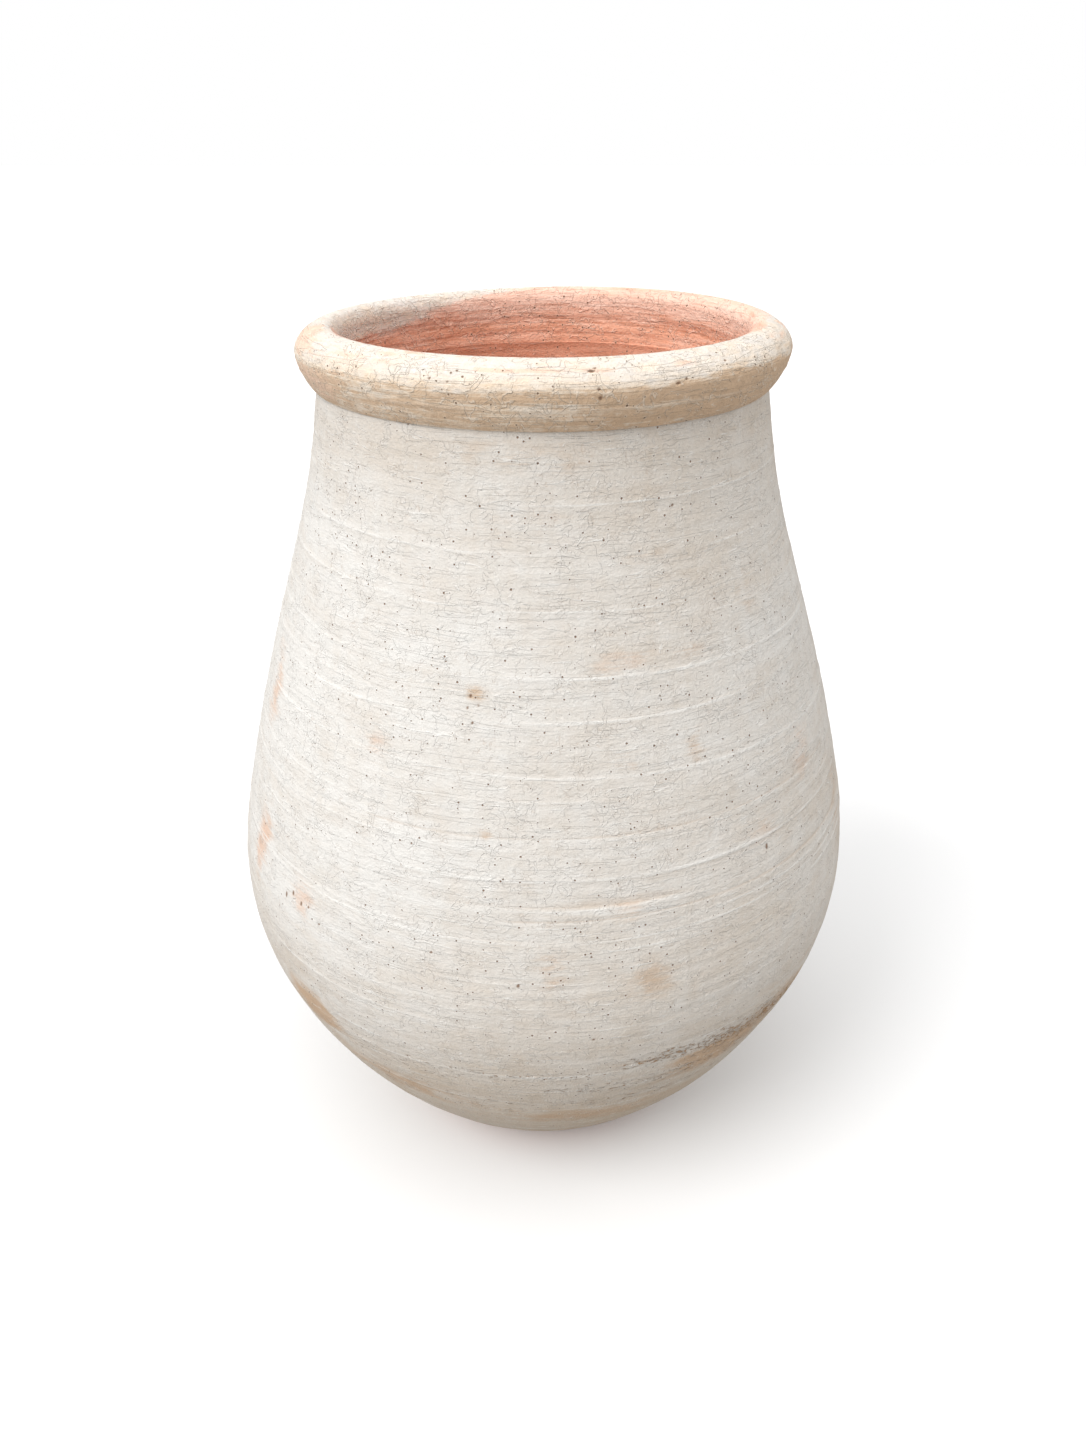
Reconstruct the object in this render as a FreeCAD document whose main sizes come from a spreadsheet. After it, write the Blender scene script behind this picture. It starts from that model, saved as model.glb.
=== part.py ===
import FreeCAD, Part
import math
import os
import Sketcher

# Greek pithos, a tall storage jar raised in courses of thrown clay.
# A flat floor disc carries six courses, one above another, and a rolled rim closes the top.
# Each course keeps a raised key round the middle of its lip, and the next course straddles it.
# Everything is round about the Z axis, the foot stands at level 0, and lengths are millimetres.

sizes = {
    # the jar as a whole
    "jar_height": 1000,
    "foot_radius": 148,
    "belly_radius": 371,
    "neck_radius": 233.8,
    # wall and its keyed seams
    "wall_thickness": 25,
    "key_height": 8,
    # floor disc, and the coil pressed into the corner between it and the wall
    "floor_thickness": 34,
    "corner_coil_reach": 24,
    "corner_coil_rise": 20,
    # rolled rim, measured from the seam on top of the neck
    "rim_height": 61,
    "rim_overhang": 19.2,
    "rim_nose_radius": 19,
    "rim_nose_height": 35.3,
    "rim_underside_radius": 67,
    "rim_lip_radius": 16.5,
}

# what follows from those sizes, as shares
shares = {
    # level of the seam on top of each course, up the wall from the floor to the neck
    "foot_level_share": 0.139,
    "bowl_level_share": 0.288,
    "belly_level_share": 0.449,
    "shoulder_level_share": 0.625,
    "collar_level_share": 0.813,
    # outer radius at the seams below the belly, on the way out from the foot to the belly
    "floor_width_share": 0.188,
    "foot_width_share": 0.655,
    "bowl_width_share": 0.939,
    # outer radius at the seams above the belly, on the way out from the neck to the belly
    "belly_width_share": 0.958,
    "shoulder_width_share": 0.677,
    "collar_width_share": 0.2835,
    # how far each course bows off a straight wall, of its height; only the neck bows in
    "foot_bow_share": 0.0373,
    "bowl_bow_share": 0.0385,
    "belly_bow_share": 0.0614,
    "shoulder_bow_share": 0.0138,
    "collar_bow_share": 0.0035,
    "neck_bow_share": 0.0237,
}

courses = ["foot", "bowl", "belly", "shoulder", "collar", "neck"]
pieces_below_seams = ["floor"] + courses
seams_below_belly = ["floor", "foot", "bowl"]
seams_above_belly = ["belly", "shoulder", "collar"]

# sketch point numbers: the start, end and centre of an edge
start = 1
end = 2
centre = 3

# the point where the sketch's own axes cross
origin = (-1, 1)

doc = FreeCAD.newDocument("pithos")
sheet = doc.addObject("Spreadsheet::Sheet", "Sizes")
next_row = 1


def setCell(alias, content):
    # one named cell per row: its name in the first column, its content in the second
    global next_row
    sheet.set("A%d" % next_row, alias)
    sheet.set("B%d" % next_row, content)
    sheet.setAlias("B%d" % next_row, alias)
    next_row += 1


def value(alias):
    return float(sheet.get(alias))


def addDrivingSizes():
    for table in (sizes, shares):
        for alias, number in table.items():
            setCell(alias, str(number))


def addSeamSizes():
    # seam levels, up the wall from the floor's top to the underside of the rim
    setCell("floor_seam_level", "=floor_thickness")
    setCell("neck_seam_level", "=jar_height - rim_height")
    for name in courses[:-1]:
        rise = "(neck_seam_level - floor_seam_level)"
        setCell(name + "_seam_level", "=floor_seam_level + %s_level_share * %s" % (name, rise))
    # seam radii, out from the foot to the belly and in again to the neck
    for name in seams_below_belly:
        spread = "(belly_radius - foot_radius)"
        setCell(name + "_seam_radius", "=foot_radius + %s_width_share * %s" % (name, spread))
    for name in seams_above_belly:
        spread = "(belly_radius - neck_radius)"
        setCell(name + "_seam_radius", "=neck_radius + %s_width_share * %s" % (name, spread))
    setCell("neck_seam_radius", "=neck_radius")
    doc.recompute()
    # course heights and bows
    for lower, upper in zip(pieces_below_seams, courses):
        setCell(upper + "_height", "=%s_seam_level - %s_seam_level" % (upper, lower))
        setCell(upper + "_bow", "=%s_bow_share * %s_height" % (upper, upper))
    doc.recompute()
    # the slope of the wall at a seam is taken from the seam below it to the seam above it
    setCell("floor_seam_slope", "=(foot_seam_radius - foot_radius) / foot_seam_level")
    for below, here, above in zip(pieces_below_seams, pieces_below_seams[1:], pieces_below_seams[2:]):
        rise = "(%s_seam_level - %s_seam_level)" % (above, below)
        spread = "(%s_seam_radius - %s_seam_radius)" % (above, below)
        setCell(here + "_seam_slope", "=%s / %s" % (spread, rise))
    # the neck stands upright where it meets the rim
    setCell("neck_seam_slope", "=0")
    doc.recompute()
    # a seam is level, so it crosses a leaning wall on the slant
    for name in pieces_below_seams:
        seam = name + "_seam"
        setCell(seam + "_across", "=wall_thickness * sqrt(1 + %s_slope ^ 2)" % seam)
        setCell(seam + "_bore", "=%s_radius - %s_across" % (seam, seam))
        middle = "%s_radius - %s_across / 2" % (seam, seam)
        setCell(seam + "_key_radius", "=%s + key_height * %s_slope" % (middle, seam))
        setCell(seam + "_key_level", "=%s_level + key_height" % seam)
    doc.recompute()


def addSweepSizes():
    # radius of the arc through two seams that stands off their chord by the bow:
    # chord squared over eight bows, plus half a bow
    for lower, upper in zip(pieces_below_seams, courses):
        bow = upper + "_bow"
        for side in ("radius", "bore"):
            across = "(%s_seam_%s - %s_seam_%s) ^ 2" % (upper, side, lower, side)
            chord = "(%s + %s_height ^ 2)" % (across, upper)
            sweep = "=%s / (8 * %s) + %s / 2" % (chord, bow, bow)
            setCell("%s_%s_sweep" % (upper, side), sweep)
    doc.recompute()


def addRimSizes():
    # the lip arc carries the bore over into the crest
    setCell("rim_lip_centre_radius", "=neck_seam_bore + rim_lip_radius")
    setCell("rim_lip_centre_level", "=neck_seam_level + rim_height - rim_lip_radius")
    setCell("rim_nose_centre_radius", "=neck_seam_radius + rim_overhang - rim_nose_radius")
    setCell("rim_nose_centre_level", "=neck_seam_level + rim_nose_height")
    doc.recompute()


def addCoilSizes():
    # centre of the arc inside the foot course, which the corner coil fills against:
    # from the middle of the chord, square to it, by the sweep less the bow
    rise = "foot_height"
    spread = "(foot_seam_bore - floor_seam_bore)"
    setCell("foot_bore_chord", "=sqrt(%s ^ 2 + %s ^ 2)" % (spread, rise))
    setCell("foot_bore_offset", "=foot_bore_sweep - foot_bow")
    middle_radius = "(floor_seam_bore + foot_seam_bore) / 2"
    middle_level = "(floor_seam_level + foot_seam_level) / 2"
    share = "foot_bore_offset / foot_bore_chord"
    setCell("foot_bore_centre_radius", "=%s - %s * %s" % (middle_radius, rise, share))
    setCell("foot_bore_centre_level", "=%s + %s * %s" % (middle_level, spread, share))
    setCell("corner_coil_level", "=floor_seam_level + corner_coil_rise")
    setCell("corner_coil_radius", "=floor_seam_bore - corner_coil_reach")
    doc.recompute()


def newSection(label):
    # a body with an empty sketch that stands upright on the jar's axis
    body = doc.addObject("PartDesign::Body", label)
    body.Label = label
    plane = [axis for axis in body.Origin.OriginFeatures if axis.Role == "XZ_Plane"][0]
    sketch = body.newObject("Sketcher::SketchObject", label + "_section")
    sketch.AttachmentSupport = [(plane, "")]
    sketch.MapMode = "FlatFace"
    return body, sketch


def spin(body, sketch):
    turned = body.newObject("PartDesign::Revolution", body.Label + "_turned")
    turned.Profile = sketch
    turned.ReferenceAxis = (sketch, ["V_Axis"])
    turned.Angle = 360
    body.Tip = turned
    return body


def bind(sketch, constraint, name, cell):
    # a named dimension that follows one cell of the sheet
    index = sketch.addConstraint(constraint)
    sketch.renameConstraint(index, name)
    sketch.setExpression("Constraints." + name, "Sizes." + cell)


def placePoint(sketch, edge, point, name, radius_cell, level_cell):
    across = Sketcher.Constraint("DistanceX", *origin, edge, point, value(radius_cell))
    up = Sketcher.Constraint("DistanceY", *origin, edge, point, value(level_cell))
    bind(sketch, across, name + "_radius", radius_cell)
    bind(sketch, up, name + "_level", level_cell)


def seamPoint(seam, kind):
    # the outer edge, key and inner edge of a seam, in radius and level
    radius_cells = {"outer": "_radius", "key": "_key_radius", "inner": "_bore"}
    level_cells = {"outer": "_level", "key": "_key_level", "inner": "_level"}
    return value(seam + radius_cells[kind]), value(seam + level_cells[kind])


def vector(point):
    return FreeCAD.Vector(point[0], point[1], 0)


def addLine(sketch, first, second):
    return sketch.addGeometry(Part.LineSegment(vector(first), vector(second)), False)


def addArc(sketch, middle, radius, first, second):
    # an arc turns anticlockwise in its sketch, from the first point to the second
    angles = [math.atan2(point[1] - middle[1], point[0] - middle[0]) for point in (first, second)]
    circle = Part.Circle(vector(middle), FreeCAD.Vector(0, 0, 1), radius)
    return sketch.addGeometry(Part.ArcOfCircle(circle, *angles), False)


def arcCentre(lower, upper, radius, bows_out):
    # the centre lies square to the chord, inside a wall that bows out and outside one that bows in
    half = 0.5 * math.dist(lower, upper)
    depth = math.sqrt(radius ** 2 - half ** 2)
    outward = ((upper[1] - lower[1]) / (2 * half), (lower[0] - upper[0]) / (2 * half))
    side = -1 if bows_out else 1
    return tuple((a + b) / 2 + side * depth * c for a, b, c in zip(lower, upper, outward))


def addWallArc(sketch, lower, upper, radius, bows_out):
    # returns the edge with its lower and upper point numbers
    middle = arcCentre(lower, upper, radius, bows_out)
    if bows_out:
        return addArc(sketch, middle, radius, lower, upper), start, end
    return addArc(sketch, middle, radius, upper, lower), end, start


def join(sketch, first, second):
    sketch.addConstraint(Sketcher.Constraint("Coincident", *first, *second))


def addSeam(sketch, seam, outer, inner, name):
    # two slanting lines from the wall's faces up to the key, tied to the ends given
    outer_face = addLine(sketch, seamPoint(seam, "outer"), seamPoint(seam, "key"))
    inner_face = addLine(sketch, seamPoint(seam, "key"), seamPoint(seam, "inner"))
    join(sketch, outer, (outer_face, start))
    join(sketch, (outer_face, end), (inner_face, start))
    join(sketch, (inner_face, end), inner)
    placePoint(sketch, outer_face, start, name + "_outer", seam + "_radius", seam + "_level")
    placePoint(sketch, outer_face, end, name + "_key", seam + "_key_radius", seam + "_key_level")
    placePoint(sketch, inner_face, end, name + "_inner", seam + "_bore", seam + "_level")


def makeFloorDisc():
    # a disc whose edge leans out to meet the wall, with the first key round its top
    body, sketch = newSection("floor_disc")
    foot = (value("foot_radius"), 0)
    base = addLine(sketch, (0, 0), foot)
    edge = addLine(sketch, foot, seamPoint("floor_seam", "outer"))
    top = addLine(sketch, seamPoint("floor_seam", "inner"), (0, value("floor_seam_level")))
    axis = addLine(sketch, (0, value("floor_seam_level")), (0, 0))
    join(sketch, (base, end), (edge, start))
    join(sketch, (top, end), (axis, start))
    join(sketch, (axis, end), (base, start))
    join(sketch, (base, start), origin)
    sketch.addConstraint(Sketcher.Constraint("Horizontal", base))
    sketch.addConstraint(Sketcher.Constraint("Horizontal", top))
    sketch.addConstraint(Sketcher.Constraint("Vertical", axis))
    width = Sketcher.Constraint("DistanceX", *origin, base, end, value("foot_radius"))
    bind(sketch, width, "foot_radius", "foot_radius")
    addSeam(sketch, "floor_seam", (edge, end), (top, start), "lip")
    return spin(body, sketch)


def makeCornerCoil():
    # a wedge of clay that fills the corner, flat on the floor and curved against the wall
    body, sketch = newSection("floor_corner_coil")
    middle = (value("foot_bore_centre_radius"), value("foot_bore_centre_level"))
    sweep = value("foot_bore_sweep")
    corner = seamPoint("floor_seam", "inner")
    level = value("corner_coil_level")
    top = (middle[0] + math.sqrt(sweep ** 2 - (level - middle[1]) ** 2), level)
    toe = (value("corner_coil_radius"), corner[1])
    wall = addArc(sketch, middle, sweep, corner, top)
    face = addLine(sketch, top, toe)
    bed = addLine(sketch, toe, corner)
    join(sketch, (wall, end), (face, start))
    join(sketch, (face, end), (bed, start))
    join(sketch, (bed, end), (wall, start))
    sketch.addConstraint(Sketcher.Constraint("Horizontal", bed))
    bind(sketch, Sketcher.Constraint("Radius", wall, sweep), "wall_sweep", "foot_bore_sweep")
    placePoint(sketch, wall, centre, "wall_centre", "foot_bore_centre_radius", "foot_bore_centre_level")
    placePoint(sketch, face, end, "toe", "corner_coil_radius", "floor_seam_level")
    rise = Sketcher.Constraint("DistanceY", *origin, wall, end, level)
    bind(sketch, rise, "top_level", "corner_coil_level")
    return spin(body, sketch)


def makeCourse(lower, upper):
    # one course of wall between the seam below it and the seam above it
    body, sketch = newSection(upper + "_course")
    bows_out = upper != "neck"
    ends = {}
    for side, kind in (("radius", "outer"), ("bore", "inner")):
        low = seamPoint(lower + "_seam", kind)
        high = seamPoint(upper + "_seam", kind)
        cell = "%s_%s_sweep" % (upper, side)
        edge, low_end, high_end = addWallArc(sketch, low, high, value(cell), bows_out)
        bind(sketch, Sketcher.Constraint("Radius", edge, value(cell)), kind + "_sweep", cell)
        ends[kind] = ((edge, low_end), (edge, high_end))
    addSeam(sketch, lower + "_seam", ends["outer"][0], ends["inner"][0], "foot")
    addSeam(sketch, upper + "_seam", ends["outer"][1], ends["inner"][1], "lip")
    return spin(body, sketch)


def makeRim():
    # the roll: underside arc, nose, sloping top, lip and straight bore, over the neck's key
    body, sketch = newSection("rim_roll")
    nose = (value("rim_nose_centre_radius"), value("rim_nose_centre_level"))
    lip = (value("rim_lip_centre_radius"), value("rim_lip_centre_level"))
    nose_radius = value("rim_nose_radius")
    lip_radius = value("rim_lip_radius")
    under_radius = value("rim_underside_radius")
    outer = seamPoint("neck_seam", "outer")
    inner = seamPoint("neck_seam", "inner")

    # the underside arc passes through the seam and holds the nose circle inside it
    reach = math.dist(outer, nose)
    cosine = (under_radius ** 2 + reach ** 2 - (under_radius - nose_radius) ** 2)
    cosine /= 2 * under_radius * reach
    turn = math.atan2(nose[1] - outer[1], nose[0] - outer[0]) + math.acos(cosine)
    under = (outer[0] + under_radius * math.cos(turn), outer[1] + under_radius * math.sin(turn))
    turn = math.atan2(nose[1] - under[1], nose[0] - under[0])
    low = (nose[0] + nose_radius * math.cos(turn), nose[1] + nose_radius * math.sin(turn))

    # the sloping top touches the nose and the lip circles from above
    reach = math.dist(nose, lip)
    turn = math.atan2(lip[1] - nose[1], lip[0] - nose[0])
    turn -= math.acos((nose_radius - lip_radius) / reach)
    high = (nose[0] + nose_radius * math.cos(turn), nose[1] + nose_radius * math.sin(turn))
    crest = (lip[0] + lip_radius * math.cos(turn), lip[1] + lip_radius * math.sin(turn))
    throat = (lip[0] - lip_radius, lip[1])

    under_arc = addArc(sketch, under, under_radius, outer, low)
    nose_arc = addArc(sketch, nose, nose_radius, low, high)
    slope = addLine(sketch, high, crest)
    lip_arc = addArc(sketch, lip, lip_radius, crest, throat)
    bore = addLine(sketch, throat, inner)
    sketch.addConstraint(Sketcher.Constraint("Tangent", under_arc, end, nose_arc, start))
    sketch.addConstraint(Sketcher.Constraint("Tangent", nose_arc, end, slope, start))
    sketch.addConstraint(Sketcher.Constraint("Tangent", slope, end, lip_arc, start))
    sketch.addConstraint(Sketcher.Constraint("Tangent", lip_arc, end, bore, start))
    for edge, name in ((under_arc, "underside"), (nose_arc, "nose")):
        cell = "rim_%s_radius" % name
        bind(sketch, Sketcher.Constraint("Radius", edge, value(cell)), name + "_radius", cell)
    placePoint(sketch, nose_arc, centre, "nose_centre", "rim_nose_centre_radius", "rim_nose_centre_level")
    placePoint(sketch, lip_arc, centre, "lip_centre", "rim_lip_centre_radius", "rim_lip_centre_level")
    addSeam(sketch, "neck_seam", (under_arc, start), (bore, end), "foot")
    sketch.addConstraint(Sketcher.Constraint("Vertical", bore))
    return spin(body, sketch)


addDrivingSizes()
addSeamSizes()
addSweepSizes()
addRimSizes()
addCoilSizes()

pieces = [makeFloorDisc(), makeCornerCoil()]
for lower, upper in zip(pieces_below_seams, courses):
    pieces.append(makeCourse(lower, upper))
pieces.append(makeRim())
doc.recompute()

for item in doc.Objects:
    if "Invalid" in item.State or "Error" in item.State:
        raise RuntimeError("%s did not build: %s" % (item.Label, item.State))
for piece in pieces:
    if piece.Shape.isNull() or not piece.Shape.isValid():
        raise RuntimeError("%s has no valid solid" % piece.Label)

os.makedirs("parts", exist_ok=True)
for piece in pieces:
    piece.Shape.exportStep("parts/%s.step" % piece.Label)
    litres = piece.Shape.Volume / 1e6
    print("%-18s %d faces %7.2f litres" % (piece.Label, len(piece.Shape.Faces), litres))
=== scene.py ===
import math

import bpy
import numpy as np
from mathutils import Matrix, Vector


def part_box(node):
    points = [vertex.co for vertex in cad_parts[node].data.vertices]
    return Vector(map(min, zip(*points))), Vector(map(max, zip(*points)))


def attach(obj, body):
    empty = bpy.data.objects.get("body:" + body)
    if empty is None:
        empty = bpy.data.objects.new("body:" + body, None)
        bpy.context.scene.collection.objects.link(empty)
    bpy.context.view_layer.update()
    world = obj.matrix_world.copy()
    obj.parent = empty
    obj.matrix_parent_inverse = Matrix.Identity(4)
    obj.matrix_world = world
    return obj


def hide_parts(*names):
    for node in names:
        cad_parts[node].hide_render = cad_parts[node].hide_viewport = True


# Greek pithos: the limewashed skin of a tall thrown jar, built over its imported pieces.
# Azimuth 0 faces the camera and grows to the right; lengths are metres, and mm turns them from millimetres.
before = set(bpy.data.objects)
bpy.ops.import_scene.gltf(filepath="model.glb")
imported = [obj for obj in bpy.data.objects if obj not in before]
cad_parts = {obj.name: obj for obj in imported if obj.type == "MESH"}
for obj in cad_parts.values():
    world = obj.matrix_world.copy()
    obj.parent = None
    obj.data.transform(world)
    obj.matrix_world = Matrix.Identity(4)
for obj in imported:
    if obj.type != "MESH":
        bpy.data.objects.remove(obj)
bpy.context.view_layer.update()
mm = 0.001
print("frame loaded:", len(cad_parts), "pieces of clay")

# the outline of the whole jar, shared by every piece
outline = {
    "wall": 25 * mm,  # thickness, square to the lean of the wall
    "keyHeight": 8 * mm,  # raised key round the middle of each seam
    "footRadius": 148 * mm,
    "rimOverhang": 19.2 * mm,  # how far the roll stands out over the neck
    # bow of each course off a straight wall, as a share of its height; the neck bows in
    "bowShares": (0.0373, 0.0385, 0.0614, 0.0138, 0.0035, -0.0237),
    # drift of the middle of the jar off its axis, to the right, by level
    "driftLevels": np.array([0, 200, 330, 480, 640, 800, 940, 1000]) * mm,
    "drift": np.array([-3.0, -2.8, -1.2, 2.4, 1.4, -0.2, -0.6, 0.6]) * mm,
    "rimTilt": 4.2 * mm,  # how much higher the back of the roll is on the right
    "ovalness": 0.9 * mm,
    "ovalTwist": 5,  # radians that the oval turns in a metre of height
}
courseNames = ("foot_course", "bowl_course", "belly_course",
               "shoulder_course", "collar_course", "neck_course")


def splineThrough(knots, values):
    # natural cubic spline: second derivatives solve one linear system, so that slopes match at each knot
    step = np.diff(knots)
    system = np.eye(len(knots))
    inner = np.arange(1, len(knots) - 1)
    system[inner, inner - 1] = step[:-1]
    system[inner, inner] = 2 * (step[:-1] + step[1:])
    system[inner, inner + 1] = step[1:]
    bend = np.zeros(len(knots))
    bend[1:-1] = 6 * np.diff(np.diff(values) / step)
    bend = np.linalg.solve(system, bend)

    def curve(at):
        span = np.clip(np.searchsorted(knots, at) - 1, 0, len(knots) - 2)
        width, before, after = step[span], knots[span + 1] - at, at - knots[span]
        cubic = (bend[span] * before ** 3 + bend[span + 1] * after ** 3) / (6 * width)
        lower = (values[span] / width - bend[span] * width / 6) * before
        upper = (values[span + 1] / width - bend[span + 1] * width / 6) * after
        return cubic + lower + upper

    return curve


def readSeams():
    # a piece tops out at its key; below the belly it is widest at its upper seam, above it at its lower one
    tops = ("floor_disc",) + courseNames
    widest = ("floor_disc",) + courseNames[:2] + courseNames[3:]
    levels = [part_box(name)[1].z - outline["keyHeight"] for name in tops]
    radii = [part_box(name)[1].x for name in widest]
    radii.append(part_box("rim_roll")[1].x - outline["rimOverhang"])
    return np.array(levels), np.array(radii)


seamLevels, seamRadii = readSeams()
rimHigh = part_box("rim_roll")[1]


def makeWallCurve():
    # through every seam, and through the middle of each course, which stands off its chord by the bow
    rise, run = np.diff(seamLevels), np.diff(seamRadii)
    bow = np.array(outline["bowShares"]) * np.hypot(rise, run)
    middleLevels = (seamLevels[1:] + seamLevels[:-1]) / 2
    middleRadii = (seamRadii[1:] + seamRadii[:-1]) / 2 + bow
    knots = np.concatenate([[0], seamLevels, middleLevels])
    values = np.concatenate([[outline["footRadius"]], seamRadii, middleRadii])
    order = np.argsort(knots)
    return splineThrough(knots[order], values[order])


wallRadius = makeWallCurve()


def wallSlope(level):
    return (wallRadius(level + mm) - wallRadius(level - mm)) / (2 * mm)


def boreRadius(level):
    # one wall thickness inside, measured square to the lean
    return wallRadius(level) - outline["wall"] * np.hypot(1, wallSlope(level))


def ease(t):
    # 0 to 1 with no jerk at either end: 6t^5 - 15t^4 + 10t^3
    t = np.clip(t, 0, 1)
    return t * t * t * (t * (6 * t - 15) + 10)


def band(value, low, high, soft):
    # 1 between low and high, easing out over soft beyond them
    return ease((value - low) / soft + 1) * ease((high - value) / soft + 1)


def turnFrom(azimuth, middle):
    # signed angle to azimuth from a middle given in degrees, the short way round
    return (azimuth - math.radians(middle) + np.pi) % (2 * np.pi) - np.pi


def bell(value, middle, half):
    # 1 at the middle, and 1/e at half above or below it
    return np.exp(-((value - middle) / half) ** 2)


def flatOn(azimuth, level):
    return np.zeros(np.broadcast(azimuth, level).shape)


def ringNoise(azimuth, along, turns, pitch, seed):
    # random heights from -1 to 1 on a lattice, turns places round the jar and a row each pitch, eased between
    rows = 512  # after these the lattice repeats
    lattice = np.random.default_rng(seed).uniform(-1, 1, (rows, turns))
    across, up = azimuth / (2 * np.pi) * turns, along / pitch
    column, row = np.floor(across).astype(int), np.floor(up).astype(int)
    rightward, upward = ease(across - column), ease(up - row)
    corner = [lattice[(row + i) % rows, (column + j) % turns] for i in (0, 1) for j in (0, 1)]
    lower = corner[0] + (corner[1] - corner[0]) * rightward
    upper = corner[2] + (corner[3] - corner[2]) * rightward
    return lower + (upper - lower) * upward


def layered(azimuth, along, layers, seed):
    # several noises, one on another; a layer is turns round the jar, pitch up it and height
    return sum(height * ringNoise(azimuth, along, turns, pitch, seed + i)
               for i, (turns, pitch, height) in enumerate(layers))


def settle(azimuth, radius, level):
    # from the true turned shape to the leaning, slightly oval one that came off the wheel
    oval = outline["ovalness"] * np.sin(2 * azimuth + outline["ovalTwist"] * level)
    radius = radius + oval * radius / rimHigh.x
    x = radius * np.sin(azimuth) + np.interp(level, outline["driftLevels"], outline["drift"])
    y = -radius * np.cos(azimuth)
    nearTop = ease((level - seamLevels[-2]) / (rimHigh.z - seamLevels[-2]))
    lift = outline["rimTilt"] * np.sin(azimuth) * (1 - np.cos(azimuth)) / 2
    return x, y, level + lift * nearTop


# what the potter's hands left in the wall, in millimetres and degrees
throwing = {
    # level at the middle, drop to the right in 100 degrees, middle azimuth, half width, ridge, ledge
    "lines": (
        (876, 2, 35, 45, 0.34, 0), (880, 0, -58, 18, 0.22, 0), (834, 2, -28, 30, 0.3, 0.1),
        (828, 0, 62, 22, 0.32, 0.1), (812, 2, 40, 24, 0.24, 0), (787, 8, -26, 56, 0.34, 0.1),
        (766, 2, 62, 24, 0.26, 0), (776, 2, 15, 34, -0.2, 0), (725, 9, 4, 82, 0.42, 0.1),
        (702, 3, -62, 20, 0.3, 0.1), (710, 2, -14, 18, 0.2, 0), (686, 1, -12, 64, 0.4, 0.1),
        (662, 2, -66, 20, 0.36, 0), (655, 0, -68, 14, 0.3, 0), (634, 16, 10, 72, 0.46, 0.15),
        (611, 3, 22, 32, 0.24, 0), (592, 0, -58, 22, 0.42, 0.1), (594, 0, -8, 24, 0.2, 0),
        (577, 1, 18, 44, -0.44, 0.2), (566, 2, -42, 36, 0.28, 0), (568, 5, 54, 26, -0.34, 0),
        (553, 4, 64, 26, 0.36, 0), (535, 2, 32, 56, 0.55, -0.2), (526, 0, -34, 28, 0.22, 0),
        (508, 0, 2, 14, 0.35, 0.4), (507, 0, 24, 16, 0.2, 0.1), (496, 2, 42, 44, -0.45, 0.1),
        (481, 2, -54, 28, 0.36, 0.1), (484, 2, 62, 28, 0.42, 0.1), (474, 1, 4, 78, 0.26, 0.1),
        (462, 3, 48, 34, 0.24, 0), (430, 0, 8, 20, 0.22, 0), (402, 2, -14, 12, 0.24, 0),
        (385, 1, 36, 26, 0.2, 0), (373, 2, -26, 30, 0.28, 0.1), (345, 3, 20, 30, -0.2, 0),
        (300, 0, -12, 18, 0.4, 0.2), (268, 1, -4, 20, 0.26, 0), (240, 2, -26, 18, 0.28, 0.1),
        (215, 0, 10, 30, 0.24, 0), (186, 2, -8, 40, 0.26, 0.1), (150, 0, 12, 44, 0.26, 0),
        (118, 2, 0, 50, 0.24, 0), (90, 0, 6, 60, 0.22, 0),
    ),
    # more of the same, scattered round the side away from the camera
    "backLines": 34, "backLevels": (100, 890), "backMiddles": (105, 255), "backHalves": (22, 75),
    "lineWidth": 1.3,
    "ledgeReach": 9.0,
    "fade": 12,  # degrees in which a line dies out at each end
    "strength": 1.25,
    # layers of noise: how far a line strays up and down, and the softer unevenness
    "wander": ((5, 140, 2.2), (17, 60, 0.77)),
    "unevenness": ((4, 74, 0.55), (7, 33, 0.30), (9, 11, 0.13), (12, 4.2, 0.09), (10, 2.4, 0.05),
                   (150, 15, 0.09), (260, 7, 0.05)),
}


def wander(azimuth, level):
    # slow drift of every line up and down, so that they aren't drawn with a ruler
    return layered(azimuth, level / mm, throwing["wander"], 11) * mm


def allLines():
    # the lines seen from the front, then random ones of like size behind
    dice = np.random.default_rng(7)
    lines = list(throwing["lines"])
    for level in np.linspace(*throwing["backLevels"], throwing["backLines"]):
        middle, half = dice.uniform(*throwing["backMiddles"]), dice.uniform(*throwing["backHalves"])
        lines.append((level + dice.uniform(-9, 9), dice.uniform(-5, 5), middle, half,
                      dice.choice([-0.3, 0.3, 0.4]), dice.uniform(-0.1, 0.2)))
    return np.array(lines)


throwingTable = allLines()


def throwingLines(azimuth, level):
    # each line is a bell-shaped ridge or groove and a soft ledge, easing in and out along the wall
    relief = flatOn(azimuth, level)
    moved = level - wander(azimuth, level)
    for height, drop, middle, half, ridge, ledge in throwingTable:
        away = np.degrees(turnFrom(azimuth, middle))
        above = moved / mm - height + drop * away / 100
        worn = 0.8 + 0.35 * ringNoise(azimuth, level * 0 + height, 23, 1, 31)
        fade = band(away, -half, half, throwing["fade"]) * worn
        step = -np.tanh(above / throwing["lineWidth"]) * bell(above, 0, throwing["ledgeReach"])
        relief += fade * (ridge * bell(above, 0, throwing["lineWidth"]) + ledge * step)
    return throwing["strength"] * relief


def softRelief(azimuth, level, seed):
    # the unevenness between the lines, straying with them
    return layered(azimuth, (level - wander(azimuth, level)) / mm, throwing["unevenness"], seed)


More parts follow.
